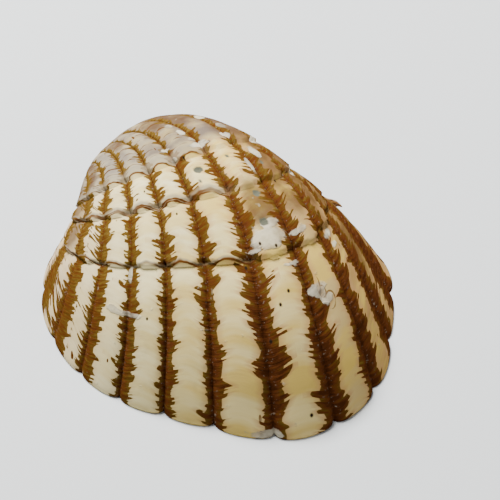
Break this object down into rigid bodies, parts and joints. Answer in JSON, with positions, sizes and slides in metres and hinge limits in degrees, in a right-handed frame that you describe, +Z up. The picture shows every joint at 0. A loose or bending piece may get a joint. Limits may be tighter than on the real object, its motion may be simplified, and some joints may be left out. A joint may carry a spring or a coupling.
{
  "type": "cardita shell valve",
  "caption": "One ribbed left valve of a cardita shell, cream with brown-stained grooves, lying hollow side down on its scalloped rim.",
  "frame": {"origin": "middle of the bounding box, on the plane the rim rests on", "axes": "+Z up through the dome of the valve, +Y from the lower rim towards the beak and hinge, +X towards the rear end of the shell"},
  "size_m": [0.0418, 0.0434, 0.0168],
  "materials": {
    "shell": "satin, glossy in the stained grooves",
    "ligament": "dry and horny"
  },
  "bodies": {
    "root": {"valve": "shell", "ligament": "ligament"}
  },
  "joints": []
}
